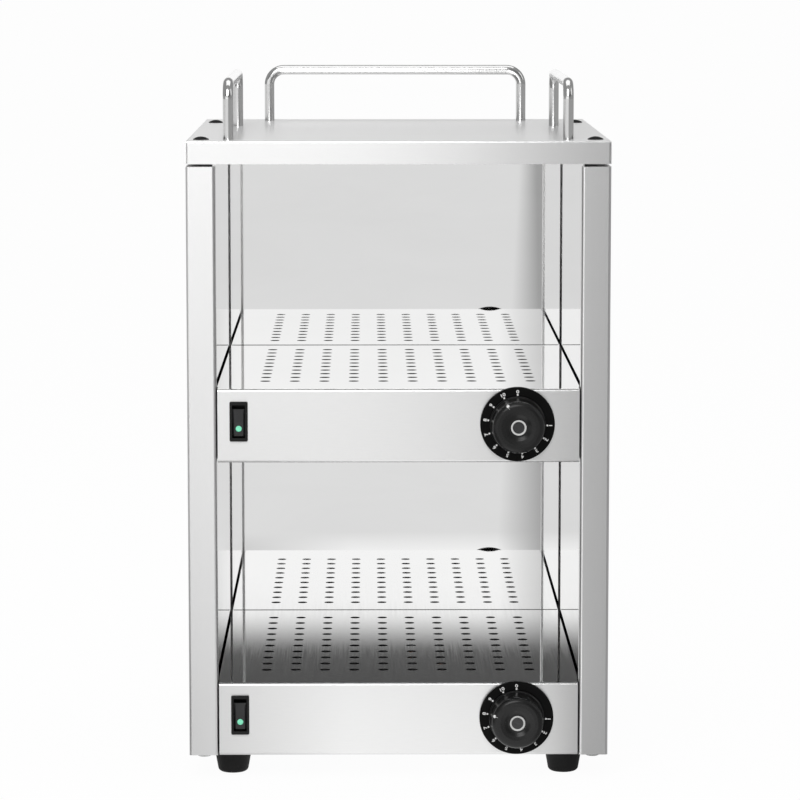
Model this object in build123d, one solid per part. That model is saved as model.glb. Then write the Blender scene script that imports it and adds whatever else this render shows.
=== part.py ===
from build123d import *
import os

# Cup warmer with two heated shelves and a cup tray on top. All sizes are millimetres.
# +Z is up, the front faces -Y, and the origin is under the middle of the feet.

# Overall body
body_width = 320.0
body_depth = 360.0
foot_height = 18.5
fascia_height = 56.0
compartment_height = 170.0
tray_rim_height = 17.5
column_width = 22.0
compartment_depth = 313.0

# Sheet metal
skin = 1.0
liner_skin = 0.8
column_radius = 2.0
fold_radius = 2.0
lip_depth = 14.0
fascia_side_gap = 1.0
deck_side_gap = 1.2
back_wall_gap = 1.0
fascia_return_depth = 15.0
tray_shadow_gap = 2.0
tray_hem = 8.0
tray_edge_radius = 1.5
tray_seam_width = 0.5
liner_flange = 17.0
shelf_flange_height = 30.0
pan_wall_height = 34.0
pan_boss_radius = 6.0
back_wall_ear_height = 30.0
sheet_clearance = 0.5

# Deck perforation
hole_diameter = 8.0
hole_columns = 10
hole_rows = 10
hole_pitch_x = 22.7
hole_pitch_y = 24.9
first_hole_row = 52.7

# Thermostat control
control_inset = 70.0
control_rise = 1.5
ring_diameter = 56.5
ring_thickness = 4.0
ring_recess_gap = 0.5
ring_recess_depth = 2.2
ring_chamfer = 0.7
ring_peg_radius = 1.5
ring_peg_distance = 23.0
ring_peg_length = 3.0
knob_skirt_lip = 0.7
knob_skirt_height = 3.0
knob_diameter = 41.0
knob_taper = 2.4
knob_projection = 26.0
knob_edge_radius = 4.0
knob_ring_gap = 0.5
knob_wall = 2.2
knob_hub_radius = 6.0
dish_diameter = 20.0
dish_floor_diameter = 14.6
dish_depth = 2.0
face_slope_width = 3.0
face_slope_drop = 0.4
insert_diameter = 12.4
insert_thickness = 2.4
insert_stand = 0.5
insert_rim_width = 1.3
insert_rim_height = 0.4
shaft_radius = 3.0
shaft_flat = 1.6
shaft_projection = 17.0
shaft_running_clearance = 0.05
shaft_collar_radius = 4.2
shaft_collar_width = 2.0
shaft_collar_inset = 8.0
bushing_radius = 4.6
bushing_projection = 1.2
thermostat_width = 42.0
thermostat_height = 36.0
thermostat_depth = 24.0
thermostat_plate = 1.5
thermostat_corner_radius = 2.0
thermostat_screw_pitch = 28.0
thermostat_screw_reach = 6.0
fit_clearance = 0.2

# Rocker switch
switch_inset = 39.0
switch_rise = 3.5
bezel_width = 13.75
bezel_height = 30.3
bezel_projection = 2.0
bezel_radius = 1.2
bezel_chamfer = 0.4
latch_width = 6.0
latch_length = 4.0
latch_height = 0.8
switch_body_width = 12.4
switch_body_height = 28.6
switch_body_depth = 20.0
recess_width = 10.0
recess_height = 25.2
recess_depth = 11.0
rocker_width = 9.4
rocker_length = 21.2
rocker_pivot_depth = 5.3
rocker_end_reach = 4.6
rocker_waist_reach = 3.6
rocker_end_thickness = 2.6
rocker_heel_reach = 2.6
rocker_heel_half = 3.4
rocker_tilt = 10.0
rocker_edge_chamfer = 1.3
rocker_pin_radius = 1.0
rocker_pin_length = 0.8
lamp_radius = 2.3
lamp_drop = 5.0
lamp_dome = 0.5

# Heating under each deck
heater_diameter = 7.0
heater_rise = 28.0
heater_leg_x = 104.0
heater_inner_x = 34.0
heater_bend_radius = 24.0
heater_front = 88.0
heater_back = 288.0
heater_end = 40.0
heater_pin_length = 4.0
heater_pin_radius = 1.6
shield_distance = 44.0
clip_width = 12.0
clip_wall = 1.2
heater_clip_shares = (0.3, 0.7)
sensor_clip_shares = (0.2, 0.8)
bulb_diameter = 6.0
bulb_length = 80.0
bulb_start = 140.0
bulb_x = 10.0
capillary_diameter = 2.0
capillary_bend = 20.0
capillary_inset = 14.0
capillary_turn_out = 76.0
capillary_turn_back = 110.0
cutout_radius = 8.0
cutout_height = 7.0
cutout_ear_length = 28.0
cutout_ear_width = 10.0
cutout_distance = 68.0
tab_width = 6.3
tab_length = 8.0
tab_thickness = 0.8
thermostat_tab_pitch = 14.0
thermostat_tab_rise = 8.0
switch_tab_pitch = 6.8
intake_slot_length = 40.0
intake_slot_width = 4.0
intake_slot_columns = 4
intake_slot_rows = 5
intake_pitch_x = 52.0
intake_pitch_y = 30.0

# Gallery rails
rail_diameter = 8.0
rail_height = 46.5
rail_bend_radius = 12.0
side_rail_inset = 31.5
side_rail_front = 22.0
side_rail_back = 240.0
rear_rail_inset = 54.5
rear_rail_distance = 335.0
rail_tapping_depth = 12.0

# Feet and fasteners
foot_top_diameter = 29.0
foot_bottom_diameter = 22.5
foot_edge_radius = 3.5
foot_inset = 10.5
foot_neck_radius = 8.0
foot_front = 30.0
foot_back = 284.0
foot_recess_radius = 4.6
foot_recess_depth = 7.0
foot_bush_radius = 4.5
foot_bush_height = 4.0
screw_radius = 2.4
screw_clearance = 0.2
cap_diameter = 12.0
cap_height = 2.4
cap_rim_height = 0.5
top_screw_length = 12.0
cap_front = 20.0
cap_back = 295.0
base_screw_diameter = 12.0
base_screw_height = 3.0
base_screw_inset = 12.0
base_screw_length = 8.0
shelf_screw_distances = (62.0, 262.0)
shelf_screw_length = 6.0
cover_screw_inset = 20.0
cover_screw_length = 7.0
cover_screws_per_side = 4
small_head_radius = 4.2
small_head_height = 2.4
low_head_height = 0.9
washer_radius = 6.0
washer_thickness = 1.0

# Rear duct and mains entry
gland_x = -100.0
gland_z = 48.0
gland_thread_radius = 8.0
gland_hex_flats = 22.0
gland_hex_length = 6.0
gland_projection = 18.0
gland_nose_radius = 3.0
gland_bore_radius = 4.0
gland_thread_length = 9.0
gland_nut_thickness = 5.0
terminal_width = 42.0
terminal_height = 20.0
terminal_depth = 22.0
terminal_x = -20.0
terminal_well_radius = 3.0
terminal_well_depth = 8.0
terminal_bore_radius = 2.2
terminal_bore_rise = 6.0
loom_diameter = 5.0
loom_x = -128.0
loom_rise = 12.0
loom_overhang = 6.0
loom_lower_turn = 60.0
loom_upper_turn = 130.0
loom_bend_radius = 15.0
loom_slope_radius = 30.0
vent_slot_width = 24.0
vent_slot_height = 3.0
vent_columns = 7
vent_rows = 5
vent_pitch_x = 36.0
vent_pitch_z = 12.0
vent_inset = 60.0

# Levels and planes that follow from the sizes above
half_width = body_width / 2
front_y = -(body_depth + gland_projection - knob_projection) / 2
rear_y = front_y + body_depth
back_wall_y = front_y + compartment_depth
lower_base_z = foot_height
lower_deck_z = lower_base_z + fascia_height
upper_base_z = lower_deck_z + compartment_height
upper_deck_z = upper_base_z + fascia_height
rim_z = upper_deck_z + compartment_height
top_z = rim_z + tray_rim_height
column_top_z = rim_z - tray_shadow_gap
inner_x = half_width - column_width
liner_x = inner_x + skin
fascia_half = inner_x - fascia_side_gap
fixing_x = half_width - column_width / 2
deck_half = liner_x - deck_side_gap
back_wall_half = liner_x - back_wall_gap
foot_x = inner_x - foot_inset
side_rail_x = half_width - side_rail_inset
rear_rail_half_length = half_width - rear_rail_inset
control_x = half_width - control_inset
switch_x = switch_inset - half_width
rear_flange_y = rear_y - skin
ceiling_z = rim_z + skin
tray_underside = top_z - skin
shield_y = front_y + shield_distance
duct_y = (back_wall_y + rear_y) / 2
knob_skirt_diameter = knob_diameter + 2 * knob_skirt_lip
knob_front_diameter = knob_diameter - knob_taper
ring_recess_diameter = knob_skirt_diameter + 2 * ring_recess_gap
shelf_bases = {"lower": lower_base_z, "upper": upper_base_z}


def block(x0, x1, y0, y1, z0, z1):
    """A box from its low and high corners."""
    size = Box(x1 - x0, y1 - y0, z1 - z0)
    return Pos((x0 + x1) / 2, (y0 + y1) / 2, (z0 + z1) / 2) * size


def rod_x(radius, x0, x1, y, z):
    return Pos((x0 + x1) / 2, y, z) * Rot(0, 90, 0) * Cylinder(radius, x1 - x0)


def rod_y(radius, x, y0, y1, z):
    return Pos(x, (y0 + y1) / 2, z) * Rot(90, 0, 0) * Cylinder(radius, y1 - y0)


def rod_z(radius, x, y, z0, z1):
    return Pos(x, y, (z0 + z1) / 2) * Cylinder(radius, z1 - z0)


def hexagon_y(flats, x, y0, y1, z):
    """A hexagonal prism that lies along Y."""
    outline = RegularPolygon(flats / 2, 6, major_radius=False)
    prism = extrude(outline, y1 - y0)
    return Pos(x, y1, z) * Rot(90, 0, 0) * prism


def turned(points, x, y, z):
    """A body turned about an axis along Y: each point is a radius and a reach towards the front."""
    profile = make_face(Polyline(*points, close=True))
    return Pos(x, y, z) * Rot(180, 0, 0) * revolve(profile, Axis.Y)


def group(solids):
    return Compound(children=list(solids))


def fixing_spots(front, back):
    """Places of the four fixings that lie over the two columns."""
    return [
        (side * fixing_x, front_y + distance)
        for side in (-1, 1)
        for distance in (front, back)
    ]


def cap_spots():
    return fixing_spots(cap_front, cap_back)


def base_screw_spots():
    return fixing_spots(base_screw_inset, body_depth - base_screw_inset)


def foot_spots():
    return [
        (side * foot_x, front_y + distance)
        for side in (-1, 1)
        for distance in (foot_front, foot_back)
    ]


def rail_post_spots():
    side_posts = [
        (side * side_rail_x, front_y + distance)
        for side in (-1, 1)
        for distance in (side_rail_front, side_rail_back)
    ]
    rear_posts = [
        (side * rear_rail_half_length, front_y + rear_rail_distance)
        for side in (-1, 1)
    ]
    return side_posts + rear_posts


def shelf_screw_spots(base_z):
    """Depth and height of the screws that hold a shelf to a side liner."""
    rise = (pan_wall_height + fascia_height - shelf_flange_height) / 2
    return [(front_y + distance, base_z + rise) for distance in shelf_screw_distances]


def cover_screw_spots():
    low = lower_base_z + cover_screw_inset
    high = column_top_z - cover_screw_inset
    step = (high - low) / (cover_screws_per_side - 1)
    heights = [low + step * count for count in range(cover_screws_per_side)]
    return [(side * fixing_x, z) for side in (-1, 1) for z in heights]


def control_z(base_z):
    return base_z + fascia_height / 2 + control_rise


def switch_z(base_z):
    return base_z + fascia_height / 2 + switch_rise


# Casing


def right_side_panel():
    """Outer skin: side wall, rounded front face, inner lip and the flanges it is screwed by."""
    inside = skin + column_radius
    shell = block(inner_x, half_width, front_y, rear_flange_y, lower_base_z, column_top_z)
    upright = shell.edges().filter_by(Axis.Z).group_by(Axis.Y)[0]
    shell = fillet(upright, column_radius)
    hollow = block(
        liner_x, half_width - skin, front_y + skin, rear_flange_y - skin, lower_base_z, column_top_z
    )
    inner_upright = hollow.edges().filter_by(Axis.Z).group_by(Axis.Y)[0]
    shell -= fillet(inner_upright, column_radius - skin)
    shell -= block(
        inner_x, liner_x + skin, front_y + lip_depth, rear_flange_y, lower_base_z, column_top_z
    )
    wall_side = half_width - skin / 2
    flange_start = front_y + inside
    shell += block(
        inner_x, wall_side, flange_start, rear_flange_y, lower_base_z, lower_base_z + skin
    )
    shell += block(
        liner_x + liner_skin + sheet_clearance, wall_side, flange_start,
        rear_flange_y - skin - liner_skin - sheet_clearance, column_top_z - skin, column_top_z,
    )
    for x, y in base_screw_spots():
        if x > 0:
            shell -= rod_z(screw_radius + screw_clearance, x, y, lower_base_z, lower_base_z + skin)
    for x, z in cover_screw_spots():
        if x > 0:
            shell -= rod_y(screw_radius + screw_clearance, x, rear_flange_y - skin, rear_flange_y, z)
    return shell


def right_side_liner():
    """Polished inner wall, flanged outwards at the foot, the top and the rear."""
    low = lower_base_z + skin
    rear = rear_flange_y - skin
    start = front_y + skin + column_radius
    outer = liner_x + liner_flange
    liner = block(liner_x, liner_x + liner_skin, start, rear, low, tray_underside)
    liner += block(liner_x, outer, start, rear, low, low + liner_skin)
    liner += block(liner_x, outer, start, rear, tray_underside - liner_skin, tray_underside)
    liner += block(liner_x, outer, rear - liner_skin, rear, low, tray_underside)
    hole = screw_radius + screw_clearance
    for x, y in base_screw_spots():
        if x > 0:
            liner -= rod_z(hole, x, y, low, low + liner_skin)
    for x, y in cap_spots():
        if x > 0:
            liner -= rod_z(hole, x, y, tray_underside - liner_skin, tray_underside)
    for x, z in cover_screw_spots():
        if x > 0:
            liner -= rod_y(hole, x, rear - liner_skin, rear, z)
    for base_z in shelf_bases.values():
        for y, z in shelf_screw_spots(base_z):
            liner -= rod_x(hole, liner_x, liner_x + liner_skin, y, z)
    return liner


def back_liner():
    """Polished back wall of both compartments: open joints at its sides, ears behind the shelves."""
    low = lower_base_z + skin
    half = back_wall_half
    flange_back = back_wall_y + liner_skin + lip_depth
    liner = block(-half, half, back_wall_y, back_wall_y + liner_skin, low, ceiling_z)
    for side in (-1, 1):
        edges = sorted((side * half, side * (half - liner_skin)))
        liner += block(edges[0], edges[1], back_wall_y, flange_back, low, ceiling_z)
        ear = sorted((side * (half - liner_skin), side * liner_x))
        for base_z in shelf_bases.values():
            middle = base_z + fascia_height / 2
            liner += block(
                ear[0], ear[1], flange_back - liner_skin, flange_back,
                middle - back_wall_ear_height / 2, middle + back_wall_ear_height / 2,
            )
    for base_z in shelf_bases.values():
        liner -= rod_y(
            loom_diameter / 2 + sheet_clearance, loom_x, back_wall_y, back_wall_y + liner_skin,
            base_z + loom_rise,
        )
    return liner


def ceiling_panel():
    """Closes the underside of the tray; it lies on the tray's front hem and the back liner."""
    return block(
        -liner_x, liner_x, front_y + skin + sheet_clearance, back_wall_y + liner_skin,
        ceiling_z, ceiling_z + liner_skin,
    )


def top_tray():
    """Cup tray on top: one folded sheet with a rim, an inward hem and open corner seams."""
    tray = block(-half_width, half_width, front_y, rear_y, rim_z, top_z)
    tray = fillet(tray.faces().sort_by(Axis.Z)[-1].edges(), tray_edge_radius)
    tray -= block(
        skin - half_width, half_width - skin, front_y + skin, rear_y - skin, rim_z, tray_underside
    )
    hem_depth = skin + tray_hem
    hem_half = liner_x - sheet_clearance
    for start in (front_y + skin / 2, rear_y - hem_depth):
        end = start + hem_depth - skin / 2
        tray += block(-hem_half, hem_half, start, end, rim_z, rim_z + skin)
    for side in (-1, 1):
        hem = sorted((side * (half_width - skin / 2), side * (half_width - hem_depth)))
        tray += block(
            hem[0], hem[1], front_y + hem_depth, rear_y - hem_depth, rim_z, rim_z + skin
        )
    seam_top = top_z - tray_edge_radius
    for side in (-1, 1):
        seam = sorted((side * (half_width - skin), side * (half_width - skin - tray_seam_width)))
        for y in (front_y, rear_y - skin):
            tray -= block(seam[0], seam[1], y, y + skin, rim_z, seam_top)
    hole = screw_radius + screw_clearance
    for x, y in cap_spots() + rail_post_spots():
        tray -= rod_z(hole, x, y, tray_underside, top_z)
    return tray


def rear_cover():
    """Rear skin with vents, the mains entry and a flange that closes the duct's floor."""
    edge = half_width - sheet_clearance
    cover = block(-edge, edge, rear_flange_y, rear_y, lower_base_z, column_top_z)
    floor_edge = inner_x - sheet_clearance
    floor_start = back_wall_y + skin + sheet_clearance
    cover += block(
        -floor_edge, floor_edge, floor_start, rear_flange_y, lower_base_z, lower_base_z + skin
    )
    slot = Rot(90, 0, 0) * extrude(SlotOverall(vent_slot_width, vent_slot_height), skin)
    for middle in (lower_deck_z + vent_inset, column_top_z - vent_inset):
        for place in GridLocations(vent_pitch_x, vent_pitch_z, vent_columns, vent_rows):
            across = place.position.X
            up = place.position.Y
            cover -= Pos(across, rear_y, middle + up) * slot
    hole = screw_radius + screw_clearance
    for x, z in cover_screw_spots():
        cover -= rod_y(hole, x, rear_flange_y, rear_y, z)
    cover -= rod_y(gland_thread_radius + fit_clearance, gland_x, rear_flange_y, rear_y, gland_z)
    return cover


# Shelf sheet metal


def fascia_openings(base_z):
    """Everything that is cut through the fascia of one shelf."""
    z = control_z(base_z)
    through = (front_y, front_y + skin)
    cuts = rod_y(bushing_radius + fit_clearance, control_x, *through, z)
    for side in (-1, 1):
        screw_x = control_x + side * thermostat_screw_pitch / 2
        cuts += rod_y(screw_radius + screw_clearance, screw_x, *through, z)
        peg_x = control_x + side * ring_peg_distance
        cuts += rod_y(ring_peg_radius + fit_clearance, peg_x, *through, z)
    half_w = switch_body_width / 2 + fit_clearance
    half_h = switch_body_height / 2 + fit_clearance
    middle = switch_z(base_z)
    cuts += block(switch_x - half_w, switch_x + half_w, *through, middle - half_h, middle + half_h)
    return cuts


def shelf_deck(base_z):
    """Perforated deck folded down into the fascia, with side and rear flanges."""
    deck_z = base_z + fascia_height
    return_y = front_y + fascia_return_depth
    nose = block(-fascia_half, fascia_half, front_y, return_y, base_z, deck_z)
    nose = fillet(nose.edges().filter_by(Axis.X).group_by(Axis.Y)[0], fold_radius)
    hollow = block(
        skin - fascia_half, fascia_half - skin, front_y + skin, return_y, base_z + skin, deck_z - skin
    )
    hollow = fillet(hollow.edges().filter_by(Axis.X).group_by(Axis.Y)[0], fold_radius - skin)
    deck = nose - hollow
    deck += block(-deck_half, deck_half, return_y, back_wall_y, deck_z - skin, deck_z)
    flange_z = deck_z - skin - shelf_flange_height
    deck += block(-deck_half, deck_half, back_wall_y - skin, back_wall_y, flange_z, deck_z)
    for side in (-1, 1):
        wall = sorted((side * deck_half, side * (deck_half - skin)))
        deck += block(wall[0], wall[1], return_y, back_wall_y, flange_z, deck_z)
    last_hole_row = first_hole_row + hole_pitch_y * (hole_rows - 1)
    grid_y = front_y + (first_hole_row + last_hole_row) / 2
    grid = GridLocations(hole_pitch_x, hole_pitch_y, hole_columns, hole_rows)
    holes = Pos(0, grid_y, deck_z - skin) * extrude(
        Sketch() + [place * Circle(hole_diameter / 2) for place in grid], skin
    )
    deck -= holes
    deck -= fascia_openings(base_z)
    for y, z in shelf_screw_spots(base_z):
        deck -= rod_x(screw_radius + screw_clearance, -deck_half, skin - deck_half, y, z)
        deck -= rod_x(screw_radius + screw_clearance, deck_half - skin, deck_half, y, z)
    return deck


def shelf_pan(base_z):
    """Floor under the heater: an open pan with intake slots, bossed inwards to the deck's flanges."""
    floor_z = base_z + skin
    wall_top = base_z + pan_wall_height
    pan_half = liner_x
    return_y = front_y + fascia_return_depth + sheet_clearance
    pan_back = back_wall_y - skin
    nose_half = fascia_half - skin - sheet_clearance
    pan = block(
        -nose_half, nose_half, front_y + fold_radius, return_y, floor_z,
        floor_z + liner_skin,
    )
    pan += block(-pan_half, pan_half, return_y, pan_back, floor_z, floor_z + liner_skin)
    rear_half = deck_half - skin - sheet_clearance
    pan += block(-rear_half, rear_half, pan_back - liner_skin, pan_back, floor_z, wall_top)
    for side in (-1, 1):
        wall = sorted((side * pan_half, side * (pan_half - liner_skin)))
        pan += block(wall[0], wall[1], return_y, pan_back, floor_z, wall_top)
        boss = sorted((side * (pan_half - liner_skin), side * deck_half))
        bore = sorted((side * pan_half, side * deck_half))
        for y, z in shelf_screw_spots(base_z):
            pan += rod_x(pan_boss_radius, boss[0], boss[1], y, z)
            pan -= rod_x(screw_radius + screw_clearance, bore[0], bore[1], y, z)
    slot = extrude(SlotOverall(intake_slot_length, intake_slot_width), liner_skin)
    grid = GridLocations(intake_pitch_x, intake_pitch_y, intake_slot_columns, intake_slot_rows)
    grid_y = (shield_y + pan_back) / 2
    for place in grid:
        pan -= Pos(0, grid_y, floor_z) * place * slot
    pan -= rod_y(
        loom_diameter / 2 + sheet_clearance, loom_x, pan_back - liner_skin, pan_back,
        base_z + loom_rise,
    )
    if base_z == lower_base_z:
        bush_top = floor_z + liner_skin + foot_bush_height
        for x, y in foot_spots():
            pan += rod_z(foot_bush_radius, x, y, floor_z, bush_top)
            pan -= rod_z(screw_radius, x, y, floor_z, bush_top)
    return pan


def heat_shield(base_z):
    """Wall between the controls and the heater, standing on a foot flange."""
    low = base_z + skin + liner_skin
    high = base_z + fascia_height - skin
    half = deck_half - skin - sheet_clearance
    shield = block(-half, half, shield_y, shield_y + liner_skin, low, high)
    shield += block(-half, half, shield_y, shield_y + lip_depth, low, low + liner_skin)
    through = (shield_y, shield_y + liner_skin)
    for side in (-1, 1):
        shield -= rod_y(
            heater_diameter / 2 + fit_clearance, side * heater_leg_x, *through,
            base_z + heater_rise,
        )
    shield -= rod_y(
        capillary_diameter / 2 + sheet_clearance, control_x - capillary_inset, *through,
        bulb_z(base_z),
    )
    shield -= rod_y(loom_diameter / 2 + sheet_clearance, loom_x, *through, base_z + loom_rise)
    return shield


# Heating and control inside each shelf


def heater(base_z):
    """Tubular element bent into an M, with a cold pin at each end."""
    z = base_z + heater_rise
    ends_y = front_y + heater_end
    path = FilletPolyline(
        (-heater_leg_x, ends_y, z),
        (-heater_leg_x, front_y + heater_back, z),
        (-heater_inner_x, front_y + heater_back, z),
        (-heater_inner_x, front_y + heater_front, z),
        (heater_inner_x, front_y + heater_front, z),
        (heater_inner_x, front_y + heater_back, z),
        (heater_leg_x, front_y + heater_back, z),
        (heater_leg_x, ends_y, z),
        radius=heater_bend_radius,
    )
    start = Plane(origin=path @ 0, z_dir=path % 0)
    element = sweep(start * Circle(heater_diameter / 2), path)
    for side in (-1, 1):
        pin = rod_y(
            heater_pin_radius, side * heater_leg_x, ends_y - heater_pin_length, ends_y, z
        )
        element += pin
    return element


def heater_clip(x, y, base_z):
    """Stand with a collar round one leg of the heater."""
    floor_z = base_z + skin + liner_skin
    z = base_z + heater_rise
    bore = heater_diameter / 2 + fit_clearance
    half = clip_width / 2
    stand = block(x - half, x + half, y - half, y + half, floor_z, floor_z + clip_wall)
    stand += block(x - clip_wall / 2, x + clip_wall / 2, y - half, y + half, floor_z, z - bore)
    stand += rod_y(bore + clip_wall, x, y - half, y + half, z)
    stand -= rod_y(bore, x, y - half, y + half, z)
    return stand


def heater_clips():
    clips = []
    for base_z in shelf_bases.values():
        for side in (-1, 1):
            for share in heater_clip_shares:
                y = front_y + heater_front + share * (heater_back - heater_front)
                clips.append(heater_clip(side * heater_leg_x, y, base_z))
    return group(clips)


def bulb_z(base_z):
    """The sensor bulb hangs just under the deck."""
    return base_z + fascia_height - skin - bulb_diameter / 2 - clip_wall - fit_clearance


def thermostat_back():
    return front_y + skin + thermostat_plate + thermostat_depth


def sensor(base_z):
    """Capillary from the thermostat through the shield to the bulb under the deck."""
    z = bulb_z(base_z)
    line_x = control_x - capillary_inset
    path = FilletPolyline(
        (line_x, thermostat_back(), z),
        (line_x, front_y + capillary_turn_out, z),
        (bulb_x, front_y + capillary_turn_back, z),
        (bulb_x, front_y + bulb_start, z),
        radius=capillary_bend,
    )
    start = Plane(origin=path @ 0, z_dir=path % 0)
    tube = sweep(start * Circle(capillary_diameter / 2), path)
    bulb_y = front_y + bulb_start
    return tube + rod_y(bulb_diameter / 2, bulb_x, bulb_y, bulb_y + bulb_length, z)


def sensor_clips():
    """Two collars under each deck that carry the sensor bulb."""
    clips = []
    bore = bulb_diameter / 2 + fit_clearance
    half = clip_width / 2
    for base_z in shelf_bases.values():
        deck_under = base_z + fascia_height - skin
        z = bulb_z(base_z)
        for share in sensor_clip_shares:
            y = front_y + bulb_start + share * bulb_length
            clip = block(
                bulb_x - half, bulb_x + half, y - half / 2, y + half / 2, z + bore, deck_under
            )
            clip += rod_y(bore + clip_wall, bulb_x, y - half / 2, y + half / 2, z)
            clip -= rod_y(bore, bulb_x, y - half / 2, y + half / 2, z)
            clips.append(clip)
    return group(clips)


def thermostat(base_z):
    """Housing behind the fascia, with its fixing plate and the bushing for the shaft."""
    z = control_z(base_z)
    plate_y = front_y + skin
    body_y = plate_y + thermostat_plate
    half_w = thermostat_width / 2
    half_h = thermostat_height / 2
    body = block(
        control_x - half_w, control_x + half_w, body_y, thermostat_back(), z - half_h, z + half_h
    )
    body = fillet(body.edges().filter_by(Axis.Y), thermostat_corner_radius)
    body += block(
        control_x - half_w, control_x + half_w, plate_y, body_y, z - half_h / 2, z + half_h / 2
    )
    body += rod_y(bushing_radius, control_x, front_y - bushing_projection, body_y, z)
    bore = shaft_radius + shaft_running_clearance
    body -= rod_y(bore, control_x, front_y - bushing_projection, collar_back(), z)
    body -= rod_y(
        shaft_collar_radius + fit_clearance, control_x, collar_front() - fit_clearance,
        collar_back() + fit_clearance, z,
    )
    for side in (-1, 1):
        screw_x = control_x + side * thermostat_screw_pitch / 2
        body -= rod_y(screw_radius, screw_x, plate_y, plate_y + thermostat_screw_reach, z)
    return body


def collar_front():
    return front_y + skin + thermostat_plate + shaft_collar_inset


def collar_back():
    return collar_front() + shaft_collar_width


def d_section(radius, flat, x, y0, y1, z):
    """A round bar along Y with one flat, for the shaft and for the knob's bore."""
    bar = rod_y(radius, x, y0, y1, z)
    return bar - block(x + flat, x + 2 * radius, y0, y1, z - radius, z + radius)


def thermostat_shaft(base_z):
    z = control_z(base_z)
    bushing_front = front_y - bushing_projection
    flat_start = bushing_front - sheet_clearance
    shaft = rod_y(shaft_radius, control_x, flat_start, collar_back(), z)
    shaft += d_section(
        shaft_radius, shaft_flat, control_x, front_y - shaft_projection, flat_start, z
    )
    shaft += rod_y(shaft_collar_radius, control_x, collar_front(), collar_back(), z)
    return shaft


def dial_ring(base_z):
    """Fixed scale ring with a recess for the knob's skirt and two pegs into the fascia."""
    z = control_z(base_z)
    outer = ring_diameter / 2
    recess = ring_recess_diameter / 2
    floor = ring_thickness - ring_recess_depth
    ring = turned(
        [
            (bushing_radius + fit_clearance, 0),
            (outer, 0),
            (outer, ring_thickness - ring_chamfer),
            (outer - ring_chamfer, ring_thickness),
            (recess, ring_thickness),
            (recess, floor),
            (bushing_radius + fit_clearance, floor),
        ],
        control_x, front_y, z,
    )
    for side in (-1, 1):
        peg_x = control_x + side * ring_peg_distance
        ring += rod_y(ring_peg_radius, peg_x, front_y - skin, front_y + ring_peg_length, z)
        screw_x = control_x + side * thermostat_screw_pitch / 2
        ring -= rod_y(small_head_radius + fit_clearance, screw_x, front_y - ring_thickness, front_y, z)
    return ring


def knob(base_z):
    """Hollow knob with a tapered grip, a rounded front edge, a dish and a hub on the shaft."""
    z = control_z(base_z)
    back = ring_thickness - ring_recess_depth + knob_ring_gap
    skirt = knob_skirt_diameter / 2
    grip = knob_diameter / 2
    nose = knob_front_diameter / 2
    dish = dish_diameter / 2
    dish_floor = dish_floor_diameter / 2
    floor_reach = knob_projection - dish_depth
    pocket = insert_diameter / 2 + fit_clearance
    pocket_reach = floor_reach + insert_stand - insert_thickness
    ceiling = pocket_reach - knob_wall
    body = turned(
        [
            (0, ceiling),
            (grip - 2 * knob_wall, ceiling),
            (skirt - knob_wall, back),
            (skirt, back),
            (skirt, back + knob_skirt_height),
            (grip, back + knob_skirt_height + (skirt - grip)),
            (nose, knob_projection),
            (dish + face_slope_width, knob_projection),
            (dish, knob_projection - face_slope_drop),
            (dish_floor, floor_reach),
            (pocket, floor_reach),
            (pocket, pocket_reach),
            (0, pocket_reach),
        ],
        control_x, front_y, z,
    )
    rims = body.edges().filter_by(GeomType.CIRCLE)
    front_rim = rims.filter_by(lambda edge: abs(edge.radius - nose) < 0.01)
    body = fillet(front_rim, knob_edge_radius)
    hub_front = front_y - ceiling - knob_wall / 2
    hub = rod_y(knob_hub_radius, control_x, hub_front, front_y - back, z)
    body += hub
    bore_reach = shaft_projection + fit_clearance
    body -= d_section(
        shaft_radius + shaft_running_clearance, shaft_flat + shaft_running_clearance, control_x,
        front_y - bore_reach, front_y - back, z,
    )
    return body


def knob_insert(base_z):
    """Plain disc set in the middle of the knob's dish."""
    floor_reach = knob_projection - dish_depth
    face = floor_reach + insert_stand
    back = face - insert_thickness
    radius = insert_diameter / 2
    return turned(
        [
            (0, back),
            (radius, back),
            (radius, face - insert_rim_height),
            (radius - insert_rim_height, face),
            (radius - insert_rim_width, face),
            (radius - insert_rim_width - insert_rim_height, face - insert_rim_height),
            (0, face - insert_rim_height),
        ],
        control_x, front_y, control_z(base_z),
    )


def thermostat_screws():
    """Screws through the fascia into each thermostat, with their heads inside the ring."""
    screws = []
    for base_z in shelf_bases.values():
        z = control_z(base_z)
        for side in (-1, 1):
            x = control_x + side * thermostat_screw_pitch / 2
            screw = rod_y(small_head_radius, x, front_y - low_head_height, front_y, z)
            tip = front_y + skin + thermostat_screw_reach - 1.0
            screw += rod_y(screw_radius - screw_clearance / 2, x, front_y, tip, z)
            screws.append(screw)
    return group(screws)


# Rocker switch


def pivot_y():
    return front_y - bezel_projection + rocker_pivot_depth


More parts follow.
